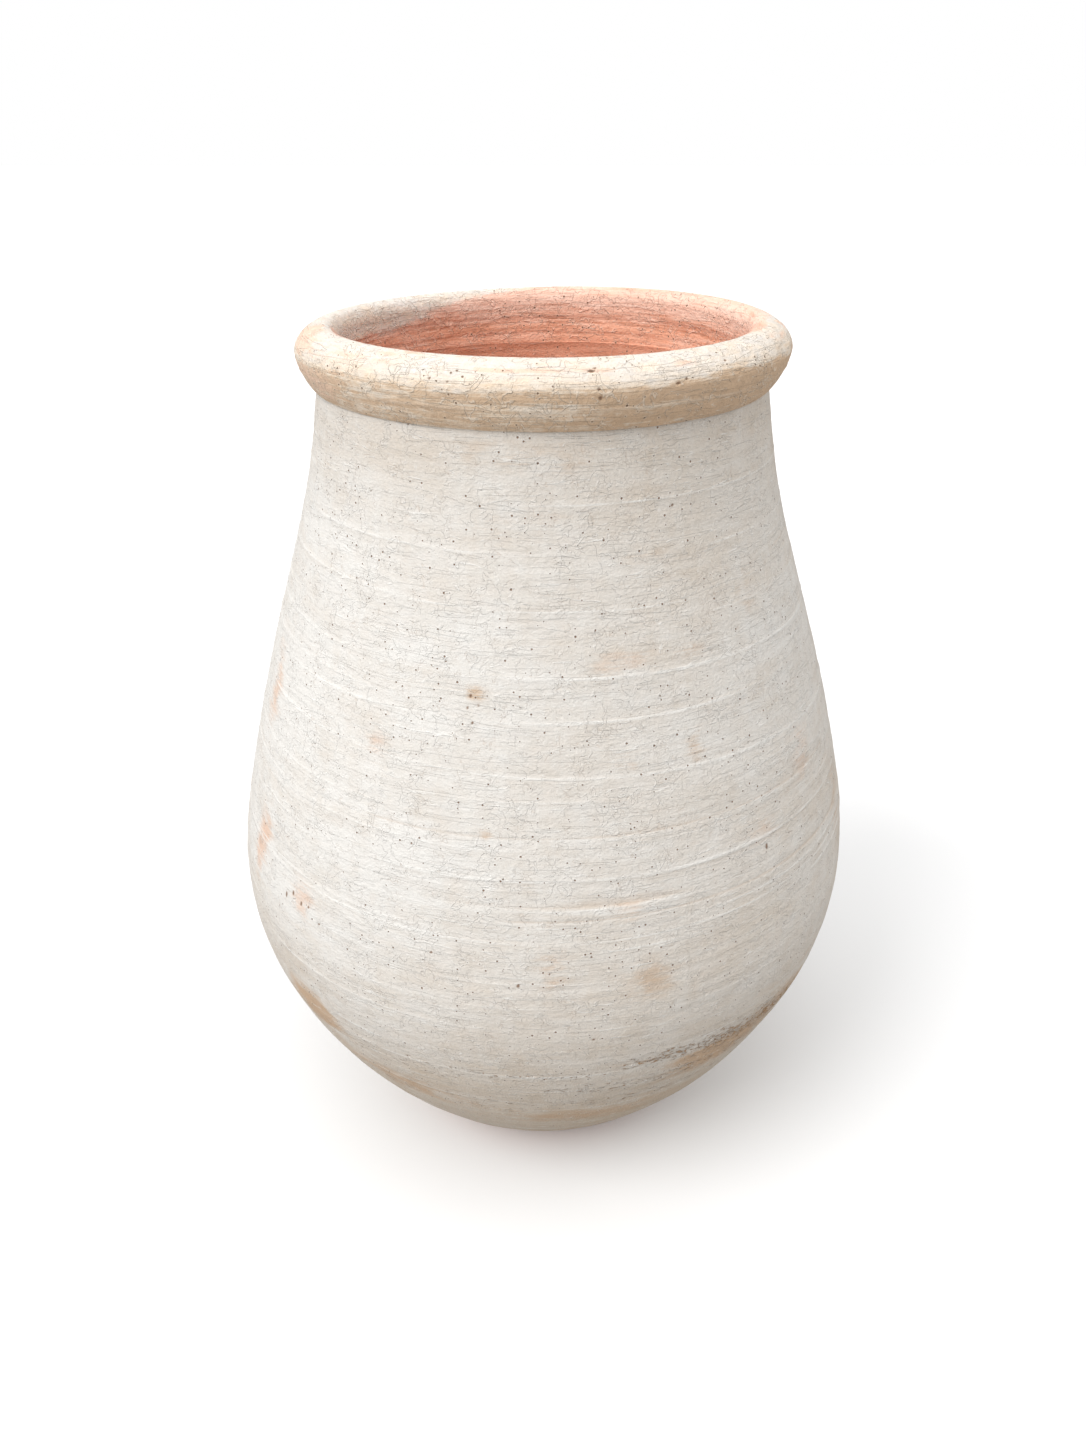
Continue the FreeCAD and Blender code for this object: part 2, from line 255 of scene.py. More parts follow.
# pits and scuffs in the wall: azimuth, level, width, height, depth
wallPits = (
    (-13.5, 708, 2.6, 3.2, 0.9), (-12, 700, 2.4, 2, 0.8), (-13.9, 697, 1.8, 1.8, 0.7),
    (-12.8, 684, 1.8, 2.4, 0.7), (29, 868, 2.4, 2.4, 0.8), (-18, 455, 2.4, 2, 0.8),
    (-4, 430, 2, 3.4, 0.7), (8, 360, 2.2, 2, 0.7), (41, 523, 3, 5, 0.8),
    (-45, 447, 2, 4.5, 0.45), (-47.5, 452, 2.2, 5, 0.45), (-43, 449, 2, 2.6, 0.4),
    (-49.5, 444, 2, 6, 0.4), (-40, 438, 2.4, 1.8, 0.4),
)
# torn patches, where the tool dragged grit along: middle azimuth, level, drop to the right in
# 100 degrees, half width in degrees, half height, depth
gouges = (
    (27, 307, 26, 13, 5.5, 2.2), (42, 296, 40, 14, 8, 2.8), (56, 281, 30, 8, 5, 2),
    (16, 268, 20, 18, 5, 1.4), (32, 262, 30, 16, 6, 1.6), (-30, 284, -20, 16, 5, 1.2),
    (4, 236, 0, 30, 4, 1.1), (-18, 214, 0, 24, 4, 1), (24, 225, 20, 24, 5, 1.2),
    (-3, 300, 0, 24, 3, 1.2), (200, 290, 10, 40, 6, 1.8), (130, 250, 0, 40, 6, 1.6),
)
# layers of the grit that was dragged
dragged = ((260, 3.4, 1.0), (470, 2.2, 0.7))


def tearsIn(azimuth, level):
    # ragged holes: what a sharp noise leaves above a threshold, kept inside each patch
    grit = layered(azimuth, level / mm, dragged, 171)
    tears, torn = flatOn(azimuth, level), flatOn(azimuth, level)
    deepest = max(patch[-1] for patch in gouges)
    for middle, height, drop, half, tall, deep in gouges:
        away = np.degrees(turnFrom(azimuth, middle))
        above = (level / mm - height + drop * away / 100) / tall
        place = np.exp(-(away / half) ** 4 - above ** 2)
        tears = np.maximum(tears, deep * ease((grit - 0.9 + 0.9 * place) / 0.4) * ease(place * 2))
        torn = np.maximum(torn, deep / deepest * np.exp(-(away / half / 1.2) ** 4 - above ** 2 / 8))
    return tears, torn


def pitsIn(azimuth, level, radius, pits):
    # each pit is a bell as wide and high as it says; returns its depth and where it is, from 0 to 1
    depth, inside = flatOn(azimuth, level), flatOn(azimuth, level)
    for middle, height, wide, tall, deep in pits:
        across = turnFrom(azimuth, middle) * radius / mm / wide
        up = (level / mm - height) / tall
        pit = np.exp(-(across ** 2 + up ** 2) * 2)
        depth += deep * pit
        inside = np.maximum(inside, pit)
    return depth, inside


def meshPiece(name, x, y, z, masks, sharpRows, capRows=()):
    # rows (first index) by columns round the jar; rows close on themselves, or on a pole at each cap
    rows, columns = x.shape
    index = np.arange(rows * columns).reshape(rows, columns)
    here = index[:-1] if capRows else index
    above = index[1:] if capRows else np.roll(index, -1, axis=0)
    quads = np.stack([here, np.roll(here, -1, axis=1), np.roll(above, -1, axis=1), above], axis=-1)
    points = np.stack([x, y, z], axis=-1).reshape(-1, 3)
    masks = {key: value.ravel() for key, value in masks.items()}
    triangles = np.zeros((0, 3), int)
    for row, outward in capRows:
        ring, pole = index[row], len(points)
        points = np.vstack([points, points[ring].mean(axis=0)])
        masks = {key: np.append(value, value[ring].mean()) for key, value in masks.items()}
        fan = np.stack([ring, np.roll(ring, -1), np.full(columns, pole)], axis=-1)
        triangles = np.vstack([triangles, fan if outward else fan[:, ::-1]])
    corners = np.concatenate([quads.ravel(), triangles.ravel()])
    starts = np.concatenate([np.arange(here.size) * 4, here.size * 4 + np.arange(len(triangles)) * 3])
    mesh = bpy.data.meshes.new(name)
    mesh.vertices.add(len(points))
    mesh.vertices.foreach_set("co", points.astype(np.float32).ravel())
    mesh.loops.add(len(corners))
    mesh.loops.foreach_set("vertex_index", corners.astype(np.int32))
    mesh.polygons.add(len(starts))
    mesh.polygons.foreach_set("loop_start", starts.astype(np.int32))
    mesh.update(calc_edges=True)
    mesh.validate()
    mesh.shade_smooth()
    ends = np.zeros(len(mesh.edges) * 2, np.int32)
    mesh.edges.foreach_get("vertices", ends)
    endRows = ends.reshape(-1, 2) // columns
    sharp = (endRows[:, 0] == endRows[:, 1]) & np.isin(endRows[:, 0], sharpRows)
    mesh.attributes.new("sharp_edge", "BOOLEAN", "EDGE").data.foreach_set("value", sharp)
    for key, value in masks.items():
        mesh.attributes.new(key, "FLOAT", "POINT").data.foreach_set("value", value.astype(np.float32))
    return bpy.data.objects.new(name, mesh)


def skinNormals(radius, level):
    # square to the section's own run, on its left as it goes up the outside and down the bore
    run, rise = np.gradient(radius), np.gradient(level)
    length = np.hypot(run, rise)
    return rise / length, -run / length


# tints over the wall: azimuth in degrees, level in mm, half width, half height, tan, peach
wallTints = (
    (-12.6, 710, 11, 11, 0.55, 0.15), (16.4, 309, 30, 8, 0.35, 0.1), (17, 425, 34, 26, 0.4, 0.1),
    (1, 446, 20, 34, 0.35, 0.25), (13.9, 644, 16, 16, 0.35, 0.3), (27.8, 648, 14, 26, 0.4, 0.2),
    (14.5, 735, 34, 14, 0.3, 0.35), (29.4, 738, 22, 12, 0.35, 0.3), (13.7, 506, 20, 18, 0.35, 0.35),
    (55, 594, 30, 36, 0.2, 0.35), (-45, 451, 26, 26, 0.1, 0.5), (-62, 455, 16, 40, 0.0, 0.5),
    (-66, 640, 24, 60, 0.3, 0.45), (-59, 486, 20, 34, 0.3, 0.5), (-9.5, 582, 10, 8, 0.5, 0.2),
    (-31.6, 647, 16, 18, 0.2, 0.35), (-44, 296, 46, 34, 0.75, 0.1), (-28, 226, 90, 24, 0.65, 0.1),
    (35, 262, 90, 30, 0.6, 0), (52, 300, 70, 44, 0.5, 0), (-52, 300, 60, 50, 0.25, 0.1),
    (31, 284, 46, 14, 0.7, 0.1), (10, 190, 130, 30, 0.55, 0), (-4, 922, 90, 12, 0.3, 0.05),
    (3, 906, 50, 12, 0.2, 0.05), (47, 773, 20, 50, 0.3, 0), (40, 543, 34, 20, 0.25, 0.25),
    (70, 500, 26, 60, 0.35, 0.2), (-3, 860, 60, 16, 0.2, 0.15), (22, 820, 40, 24, 0.25, 0.1),
    (150, 640, 60, 40, 0.3, 0.3), (205, 420, 70, 36, 0.4, 0.2), (120, 300, 60, 30, 0.5, 0.1),
    (235, 720, 50, 40, 0.3, 0.3), (175, 880, 60, 18, 0.4, 0.1), (250, 290, 60, 26, 0.5, 0.2),
)
# how warm the wash is at each level: beige under the jar, cool and white over the belly, cream at the neck
toneByLevel = {
    "levels": np.array([0, 90, 190, 300, 420, 560, 700, 800, 880, 925, 939]) * mm,
    "warmth": np.array([0.95, 0.9, 0.78, 0.54, 0.34, 0.18, 0.16, 0.24, 0.36, 0.42, 0.34]),
}


def wallMasks(azimuth, level, radius, relief, lime, line=0, pitted=0, torn=0):
    # what the finishes read at each point of a piece, named as the finishes name it
    tan, peach = flatOn(azimuth, level), flatOn(azimuth, level)
    for middle, height, wide, tall, tanAmount, peachAmount in wallTints:
        across = turnFrom(azimuth, middle) * radius / mm / wide
        spot = np.exp(-(across ** 2 + ((level / mm - height) / tall) ** 2))
        tan += tanAmount * spot
        peach += peachAmount * spot
    warmth = np.interp(level, toneByLevel["levels"], toneByLevel["warmth"])
    warmth = warmth + 0.12 * ringNoise(azimuth, level, 13, 90 * mm, 41) + 0.14 * np.sin(azimuth)
    return {"warmth": warmth, "tan": tan, "peach": peach, "relief": relief, "line": line, "pitted": pitted,
            "lime": lime, "fresh": 0, "torn": torn, "turning": level - wander(azimuth, level)}


def wallSkin(azimuth, level, outside):
    # the wall's face as a grid: the smooth profile, pushed out along its own normal by the relief
    radius = wallRadius(level) if outside else boreRadius(level)
    acrossWall, upWall = skinNormals(radius[:, 0], level[:, 0])
    if outside:
        lines = throwingLines(azimuth, level)
        pits, pitted = pitsIn(azimuth, level, radius, wallPits)
        tears, torn = tearsIn(azimuth, level)
        relief = lines + softRelief(azimuth, level, 50) - (pits + 0.5 * tears)
        pitted = np.maximum(pitted, 0.16 * tears)
        masks = wallMasks(azimuth, level, radius, relief, 1, lines, pitted, torn)
        push = relief * ease(2 * level / seamLevels[0] - 1)  # none at the foot
    else:
        push = fingerGrooves(azimuth, level)
        masks = wallMasks(azimuth, level, radius, push, 0)
    return radius + acrossWall[:, None] * push * mm, level + upWall[:, None] * push * mm, masks


# finger grooves down the bore; lengths are millimetres
bore = {
    # level, groove depth, half height
    "grooves": ((966, 0.9, 2.4), (961, 0.7, 1.8), (949, 0.6, 2.6), (935, 1.5, 2.8), (927, 1.3, 2.6),
                (915, 0.9, 3.4), (903, 0.8, 3), (888, 1.1, 3.2), (872, 0.8, 3)),
    # level, half height and how thickly strewn, for the rows of pale crumbs stuck in the bore
    "crumbs": ((966, 2.4, 1), (962, 1.4, 0.8), (951, 1.6, 0.6), (936, 1.8, 0.9), (975, 7, 0.5)),
    "crumbSizes": ((210, 2.6, 1), (390, 1.9, 0.6)),  # layers of noise
    # below this level one groove runs on as a spiral, which climbs one spacing in a turn
    "spiralTop": 830, "spacing": 15.0, "depth": 0.9,
}


def fingerGrooves(azimuth, level):
    # bells at their own levels near the mouth, and a wave that climbs round and round below the neck
    moved = (level - 1.5 * wander(azimuth, level)) / mm
    relief = softRelief(azimuth, level, 80)
    depth = 0.75 + 0.35 * ringNoise(azimuth, level, 9, 40 * mm, 91)
    for height, deep, half in bore["grooves"]:
        relief -= deep * depth * bell(moved, height, half)
    wave = np.abs(np.sin(np.pi * (moved / bore["spacing"] + azimuth / (2 * np.pi)))) ** 0.7
    deeper = 1 - ease((level / mm - bore["spiralTop"]) / 40)
    return relief + bore["depth"] * (wave - 0.6) * depth * deeper


def crumbsIn(azimuth, level):
    # peaks of a sharp noise, kept in rows round the bore
    grit = layered(azimuth, level / mm, bore["crumbSizes"], 181)
    rows = flatOn(azimuth, level)
    for height, half, thick in bore["crumbs"]:
        rows = np.maximum(rows, thick * bell(level / mm, height, half))
    return ease((grit - 1.0 + 0.45 * rows) / 0.3) * ease(rows * 2.5)


# wash spilt over the lip; lengths are millimetres past the crest and angles degrees
spill = {
    "front": 17, "frontHalf": 66, "behind": -4,
    "left": 46, "leftMiddle": -118, "leftHalf": 40,
    "softness": 16, "ragged": ((31, 9, 5), (90, 4, 1.5)),  # width of its edge, and layers of noise
    "thinMiddle": -122, "thinned": 0.1,
}


def limeInside(azimuth, pastCrest):
    # to the lip's inner edge in front, well down the left, and only up to the crest behind
    front = spill["front"] * np.exp(-(np.degrees(azimuth) / spill["frontHalf"]) ** 4)
    left = spill["left"] * bell(np.degrees(turnFrom(azimuth, spill["leftMiddle"])), 0, spill["leftHalf"])
    edge = np.maximum(front, left) + spill["behind"] + layered(azimuth, pastCrest, spill["ragged"], 95)
    thin = np.exp(-(np.degrees(turnFrom(azimuth, spill["thinMiddle"])) / spill["leftHalf"]) ** 4)
    covered = ease(0.5 + (edge - pastCrest) / spill["softness"])
    return (1 - spill["thinned"] * thin * (pastCrest > 0)) * covered


def leanAtSeams():
    # slope of the wall at each seam, from the seam below it to the seam above it; the neck ends upright
    levels = np.concatenate([[0], seamLevels])
    radii = np.concatenate([[outline["footRadius"]], seamRadii])
    return np.append((radii[2:] - radii[:-2]) / (levels[2:] - levels[:-2]), 0)


seamLean = leanAtSeams()


def azimuthGrid(columns):
    return np.linspace(-np.pi, np.pi, columns, endpoint=False)[None, :]


def around(values, azimuth):
    # a row for each value, the same all the way round
    return np.array(values)[:, None] * np.ones_like(azimuth)


def seamRows(azimuth, seam):
    # the key between the two faces of a seam: half way across, one key height up, square to the lean
    across = outline["wall"] * math.hypot(1, seamLean[seam])
    radius = seamRadii[seam] - across / 2 + outline["keyHeight"] * seamLean[seam]
    return around([radius], azimuth), around([seamLevels[seam] + outline["keyHeight"]], azimuth)


def stack(*parts):
    # joins (radius, level, masks) grids one above another into one section; a seam has no masks
    radius, level = (np.vstack([part[i] for part in parts]) for i in (0, 1))
    masks = {}
    for key in parts[0][2]:
        values = [part[2][key] if len(part) > 2 else 0 for part in parts]
        masks[key] = np.vstack([np.broadcast_to(value, part[0].shape) for value, part in zip(values, parts)])
    return radius, level, masks


def finishSection(name, azimuth, section, sharpRows, capRows=()):
    radius, level, masks = section
    return meshPiece(name, *settle(azimuth, radius, level), masks, sharpRows, capRows)


def makeCourse(name, columns, outerRows, innerRows):
    # a ring of wall: up the outside, over the keyed seam, down the bore and over the seam below
    seam = courseNames.index(name)
    azimuth = azimuthGrid(columns)
    low, high = seamLevels[seam], seamLevels[seam + 1]
    section = stack(wallSkin(azimuth, around(np.linspace(low, high, outerRows), azimuth), True),
                    seamRows(azimuth, seam + 1),
                    wallSkin(azimuth, around(np.linspace(high, low, innerRows), azimuth), False),
                    seamRows(azimuth, seam))
    last = outerRows + innerRows
    return finishSection(name, azimuth, section, (0, outerRows - 1, outerRows, outerRows + 1, last, last + 1))


# the rolled rim; lengths are millimetres
rim = {
    "columns": 960, "rows": 98,
    "noseLevel": 976,
    "lipReach": 15.1,  # how far the lip curls from the crest to the bore
    "lipDrop": 16.5,
    "undersideFullness": 1.46,  # below 2 is leaner than a quarter ellipse
    "topFullness": 1.78,
    # level on the outside of the roll, height, half width of each raised line
    "lines": ((961, 0.55, 1.5), (984.5, 0.35, 1.3), (966, 0.2, 1), (991, 0.15, 1.2)),
    # azimuth in degrees, distance up the section from the crease, width, height, depth
    "pits": ((9.6, 63, 5.5, 2.6, 1.5), (10.4, 66, 2.6, 1.8, 1), (10.8, 46, 3, 2, 1),
             (11.2, 38, 3.2, 3, 0.8), (27.6, 46, 4.6, 1.8, 1.4), (29.6, 49, 2.6, 2.2, 1.2),
             (-23, 52, 2.2, 2.4, 0.9), (-19, 50, 2, 1.8, 0.7), (41, 60, 2.6, 2.2, 0.8),
             (160, 50, 4, 2.4, 1.2), (-140, 30, 3.4, 2.2, 1), (100, 40, 3, 2, 1)),
    # bare beige from the crease up to here, and layers of noise at its edge
    "beigeTop": 34, "beigeFade": 26, "beigeEdge": ((40, 8, 3), (120, 3, 2)),
    # middle azimuth and half width of the warmer ends, as seen from the front
    "leftEnd": (-66, 24), "rightEnd": (50, 34),
}


def rimProfile(rows):
    # four joined curves: under the roll, over its top, the lip's quarter ellipse, and the straight bore
    crease = seamRadii[-1]
    nose, noseLevel = rimHigh.x, rim["noseLevel"] * mm
    bored = crease - outline["wall"]
    crest = bored + rim["lipReach"] * mm
    turn = np.linspace(0, np.pi / 2, 400)
    under = (crease + (nose - crease) * np.sin(turn) ** (2 / rim["undersideFullness"]),
             noseLevel - (noseLevel - seamLevels[-1]) * np.cos(turn) ** (2 / rim["undersideFullness"]))
    top = (crest + (nose - crest) * np.cos(turn) ** (2 / rim["topFullness"]),
           noseLevel + (rimHigh.z - noseLevel) * np.sin(turn) ** (2 / rim["topFullness"]))
    lip = (crest - (crest - bored) * np.sin(turn), rimHigh.z - rim["lipDrop"] * mm * (1 - np.cos(turn)))
    down = (bored + 0 * turn, np.linspace(lip[1][-1], seamLevels[-1], len(turn)))
    radius, level = np.hstack([under, top, lip, down])
    along = np.concatenate([[0], np.cumsum(np.hypot(np.diff(radius), np.diff(level)))])
    even = np.linspace(0, along[-1], rows)
    return np.interp(even, along, radius), np.interp(even, along, level), even


def makeRimRoll():
    # up the outside of the roll, over its top and down the bore, then over the neck's key
    azimuth = azimuthGrid(rim["columns"])
    radius, level, along = rimProfile(rim["rows"])
    acrossSkin, upSkin = skinNormals(radius, level)
    crestAt = along[level.argmax()] / mm
    radius, level, along = (around(values, azimuth) for values in (radius, level, along / mm))
    pastCrest = along - crestAt
    moved = (level - 0.5 * wander(azimuth, level)) / mm
    lines = flatOn(azimuth, level)
    for height, raised, half in rim["lines"]:
        worn = 0.8 + 0.4 * ringNoise(azimuth, level * 0 + height, 13, 1, 131)
        lines += raised * worn * bell(moved, height, half) * (pastCrest < 0)
    relief = softRelief(azimuth, along * mm + 2, 120) + lines
    relief += 0.16 * ringNoise(azimuth, along, 8, 2.1, 133) * band(along, 40, 95, 14)
    for height, deep, half in bore["grooves"]:
        relief -= deep * bell(moved, height, half) * (pastCrest > 16)
    crumbs = crumbsIn(azimuth, level) * (pastCrest > 12)
    pits, pitted = pitsIn(azimuth, along * mm, rimHigh.x, rim["pits"])
    relief = (relief + 0.6 * crumbs - pits) * ease(along / 9) * ease((along.max() - along) / 9)
    radius = radius + acrossSkin[:, None] * relief * mm
    height = level + upSkin[:, None] * relief * mm

    # bare beige under and round the roll, white along the crest, salmon from the lip down
    degrees = np.degrees(azimuth)
    ragged = layered(azimuth, level / mm, rim["beigeEdge"], 141)
    lower = 1 - ease((along + ragged - rim["beigeTop"]) / rim["beigeFade"])
    leftEnd, rightEnd = bell(degrees, *rim["leftEnd"]), bell(degrees, *rim["rightEnd"])
    flush = ringNoise(azimuth, along, 60, 9, 151) * ringNoise(azimuth, along, 22, 20, 152)
    peach = 0.4 * leftEnd * band(along, 14, 66, 12) + 0.5 * bell(degrees, -76, 9) * band(along, 60, 80, 8)
    masks = {
        "warmth": 0.38 + 0.52 * lower + rightEnd * (0.08 + 0.1 * lower) - 0.2 * band(along, 62, 90, 10),
        "tan": 0.48 * lower + rightEnd * (0.12 + 0.5 * lower) + 0.1 * leftEnd,
        "peach": peach + 1.2 * np.clip(flush, 0, 1) * band(along, 64, 84, 8),
        "relief": relief, "line": lines + 0.4 * crumbs, "pitted": pitted,
        "lime": limeInside(azimuth, pastCrest), "fresh": 0.9 * band(pastCrest, -20, 14, 44) + 0.1,
        "torn": 0, "turning": level,
    }
    section = stack((radius, height, masks), seamRows(azimuth, len(seamLevels) - 1))
    return finishSection("rolled_rim", azimuth, section, (0, rim["rows"] - 1, rim["rows"]))


# floor of the jar: the disc that it was thrown on, and the coil worked into the corner above it
floorPiece = {
    "columns": 720,
    "edge": 3.0,  # how far the foot's edge is rounded
    "poleRing": 2.0,  # radius of the last ring round each pole
    "ringPitch": 16.0, "ringHeight": 1.1,  # of the spiral that the fingers left on top
    "scratches": 0.25,  # left underneath by the wire
}


def makeFloorDisc():
    # from the middle of the underside out to the foot, up the edge, over the key and back to the middle
    azimuth = azimuthGrid(floorPiece["columns"])
    foot, soft, middle = outline["footRadius"], floorPiece["edge"] * mm, floorPiece["poleRing"] * mm
    under = np.linspace(middle, foot - soft, 40)
    turn = np.linspace(0, np.pi / 2, 6)[1:]
    edge = np.linspace(soft, seamLevels[0], 30)[1:]
    radius = np.concatenate([under, foot - soft + soft * np.sin(turn), wallRadius(edge)])
    level = np.concatenate([0 * under, soft - soft * np.cos(turn), edge])
    outerRows = len(radius)
    radius, level = around(radius, azimuth), around(level, azimuth)
    wire = ringNoise(azimuth * 0 + radius / foot * 3, level + 1, 90, 6 * mm, 160)
    scratch = floorPiece["scratches"] * (1 + wire) * mm * (level == 0)
    outside = (radius, level + scratch, wallMasks(azimuth, level, radius, 0, 0.25))

    bored = boreRadius(seamLevels[0])
    inward = around(np.linspace(bored, middle, 60), azimuth)
    spiral = np.sin(2 * np.pi * (inward / mm / floorPiece["ringPitch"] + azimuth / (2 * np.pi)))
    flat = ease((bored - inward) / (30 * mm)) * ease(inward / (20 * mm))
    top = seamLevels[0] - 0.5 * floorPiece["ringHeight"] * (1 + spiral) * flat * mm
    inside = (inward, top, wallMasks(azimuth, top, inward, spiral * 0.4, 0))
    section = stack(outside, seamRows(azimuth, 0), inside)
    return finishSection("jar_floor", azimuth, section, (outerRows - 1, outerRows, outerRows + 1),
                         capRows=((0, False), (len(section[0]) - 1, True)))


coil = {"columns": 480, "reach": 24.0, "rise": 20.0, "sag": 1.6, "thumbs": 46, "thumbDepth": 1.2}


def makeCornerCoil():
    # a fillet of clay: flat on the floor, against the wall, and a thumbed hollow face between toe and top
    azimuth = azimuthGrid(coil["columns"])
    low, high = seamLevels[0], seamLevels[0] + coil["rise"] * mm
    corner, shoulder = boreRadius(low), boreRadius(high)
    toe = corner - coil["reach"] * mm
    bed = np.linspace(toe, corner, 8)[:-1]
    climb = np.linspace(low, high, 8)
    down = np.linspace(0, 1, 22)[1:-1]
    radius = around(np.concatenate([bed, boreRadius(climb), shoulder + (toe - shoulder) * down]), azimuth)
    level = around(np.concatenate([low + 0 * bed, climb, high + (low - high) * down]), azimuth)
    hollow = np.sin(np.pi * down)[:, None] * mm
    thumb = (np.abs(np.sin(azimuth * coil["thumbs"] / 2)) ** 0.8 - 0.4) * coil["thumbDepth"] * hollow
    radius[-len(down):] += coil["sag"] * hollow + 0.6 * thumb
    level[-len(down):] -= coil["sag"] * hollow + 0.8 * thumb
    section = stack((radius, level, wallMasks(azimuth, level, radius, 0, 0)))
    return finishSection("corner_coil", azimuth, section, (0, len(bed), len(bed) + len(climb) - 1))


courseMeshes = {
    # columns round the jar, rows up the outside, rows down the bore
    "foot_course": (720, 112, 20),
    "bowl_course": (720, 112, 20),
    "belly_course": (720, 114, 18),
    "shoulder_course": (720, 114, 18),
    "collar_course": (700, 112, 24),
    "neck_course": (660, 106, 40),
}
jarPieces = {"floor_disc": makeFloorDisc(), "floor_corner_coil": makeCornerCoil()}
for nodeName, (columns, outerRows, innerRows) in courseMeshes.items():
    jarPieces[nodeName] = makeCourse(nodeName, columns, outerRows, innerRows)
jarPieces["rim_roll"] = makeRimRoll()
print("clay meshed:", sum(len(piece.data.vertices) for piece in jarPieces.values()), "points")

# finishes: small helpers, then the effect groups, then a material for each of the four slots
def addNode(tree, kind, inputs=None, **settings):
    # inputs go by socket name or number; a socket is linked and anything else is typed in
    node = tree.nodes.new("ShaderNode" + kind)
    for key, value in settings.items():
        setattr(node, key, value)
    for key, value in (inputs or {}).items():
        if isinstance(value, bpy.types.NodeSocket):
            tree.links.new(value, node.inputs[key])
        else:
            node.inputs[key].default_value = value
    return node


def maths(tree, operation, first, second=0.0, third=0.0, clamp=False):
    inputs = {0: first, 1: second, 2: third}
    return addNode(tree, "Math", inputs, operation=operation, use_clamp=clamp).outputs[0]


def blend(tree, amount, first, second):
    return addNode(tree, "Mix", {0: amount, 6: first, 7: second}, data_type="RGBA").outputs[2]


def ramp(tree, value, low, high, bottom=0.0, top=1.0):
    inputs = {"Value": value, "From Min": low, "From Max": high, "To Min": bottom, "To Max": top}
    return addNode(tree, "MapRange", inputs, interpolation_type="SMOOTHSTEP").outputs[0]


def vectorMaths(tree, operation, first, second=(0, 0, 0)):
    return addNode(tree, "VectorMath", {0: first, 1: second}, operation=operation).outputs[0]


def scaled(tree, vector, amount):
    return addNode(tree, "VectorMath", {0: vector, "Scale": amount}, operation="SCALE").outputs[0]


def times(tree, first, second):
    return maths(tree, "MULTIPLY", first, second)


def plus(tree, base, extra, amount=1.0, clamp=False):
    # base plus amount times extra
    return maths(tree, "MULTIPLY_ADD", extra, amount, base, clamp)


def centred(tree, value):
    return maths(tree, "SUBTRACT", value, 0.5)


def noise(tree, place, scale, detail, roughness=0.5, distortion=0.0):
    inputs = {"Vector": place, "Scale": scale, "Detail": detail,
              "Roughness": roughness, "Distortion": distortion}
    return addNode(tree, "TexNoise", inputs).outputs[0]


def ringPlace(tree, position, turning, across, up):
    # direction from the axis times across, and the turning level times up: streaks run round the jar
    direction = vectorMaths(tree, "NORMALIZE", vectorMaths(tree, "MULTIPLY", position, (1, 1, 0)))
    high = addNode(tree, "CombineXYZ", {"Z": times(tree, turning, up)}).outputs[0]
    return vectorMaths(tree, "ADD", scaled(tree, direction, across), high)


def openGroup(name, **inputs):
    # inputs are name=default; three numbers make a vector socket and one a float
    tree = bpy.data.node_groups.new(name, "ShaderNodeTree")
    for label, value in inputs.items():
        kind = "NodeSocketVector" if isinstance(value, tuple) else "NodeSocketFloat"
        socket = tree.interface.new_socket(label, in_out="INPUT", socket_type=kind)
        socket.default_value = value
    return tree, tree.nodes.new("NodeGroupInput").outputs


def closeGroup(tree, **results):
    # every result becomes an output of the group
    for label in results:
        tree.interface.new_socket(label, in_out="OUTPUT", socket_type="NodeSocketFloat")
    leave = tree.nodes.new("NodeGroupOutput")
    for label, value in results.items():
        tree.links.new(value, leave.inputs[label])
    return tree


def useGroup(tree, group, **inputs):
    return addNode(tree, "Group", inputs, node_tree=group).outputs


def makeStreakGroup():
    # noise drawn out round the jar: threads left by the fingers, wider bands, upright brush marks and tears
    tree, given = openGroup("Throwing streaks", Position=(0, 0, 0), Turning=0.0, Threads=1.0, Bands=1.0)
    # scale across and up, detail, roughness, distortion
    kinds = ((5.0, 520.0, 2.0, 0.6, 0.0), (2.6, 95.0, 3.0, 0.55, 0.0),
             (26.0, 14.0, 3.0, 0.6, 0.0), (40.0, 290.0, 4.0, 0.7, 0.5))
    drawn = []
    for across, up, *texture in kinds:
        place = ringPlace(tree, given["Position"], given["Turning"], across, up)
        drawn.append(noise(tree, place, 1.0, *texture))
    threads, bands, brush, tear = drawn
    threads = times(tree, centred(tree, threads), given["Threads"])
    bands = times(tree, centred(tree, bands), given["Bands"])
    return closeGroup(tree, Streak=plus(tree, bands, threads), Brush=centred(tree, brush), Tear=tear,
                      Height=times(tree, threads, 0.34))


def makePinholeGroup():
    # random cells, some of them pierced: a dark hole with a pale burr round it, in loose clusters
    tree, given = openGroup("Pinholes", Position=(0, 0, 0), Cell=0.006, Size=0.17, Amount=0.5)
    scale = maths(tree, "DIVIDE", 1.0, given["Cell"])
    cells = addNode(tree, "TexVoronoi", {"Vector": given["Position"], "Scale": scale, "Randomness": 1.0})
    dice = addNode(tree, "SeparateColor", {0: cells.outputs["Color"]}).outputs
    clusters = ramp(tree, noise(tree, given["Position"], 24.0, 2.0), 0.35, 0.65, 0.6, 1.5)
    pierced = maths(tree, "LESS_THAN", dice[0], times(tree, given["Amount"], clusters))
    radius = times(tree, given["Size"], plus(tree, 0.45, dice[1], 0.75))
    reach = maths(tree, "DIVIDE", cells.outputs["Distance"], radius)
    hole = times(tree, ramp(tree, reach, 1.0, 0.55), pierced)
    ring = times(tree, ramp(tree, reach, 2.0, 1.2), pierced)
    burr = times(tree, ring, maths(tree, "SUBTRACT", 1.0, hole))
    return closeGroup(tree, Hole=hole, Burr=burr, Height=plus(tree, times(tree, burr, 0.12), hole, -0.5))


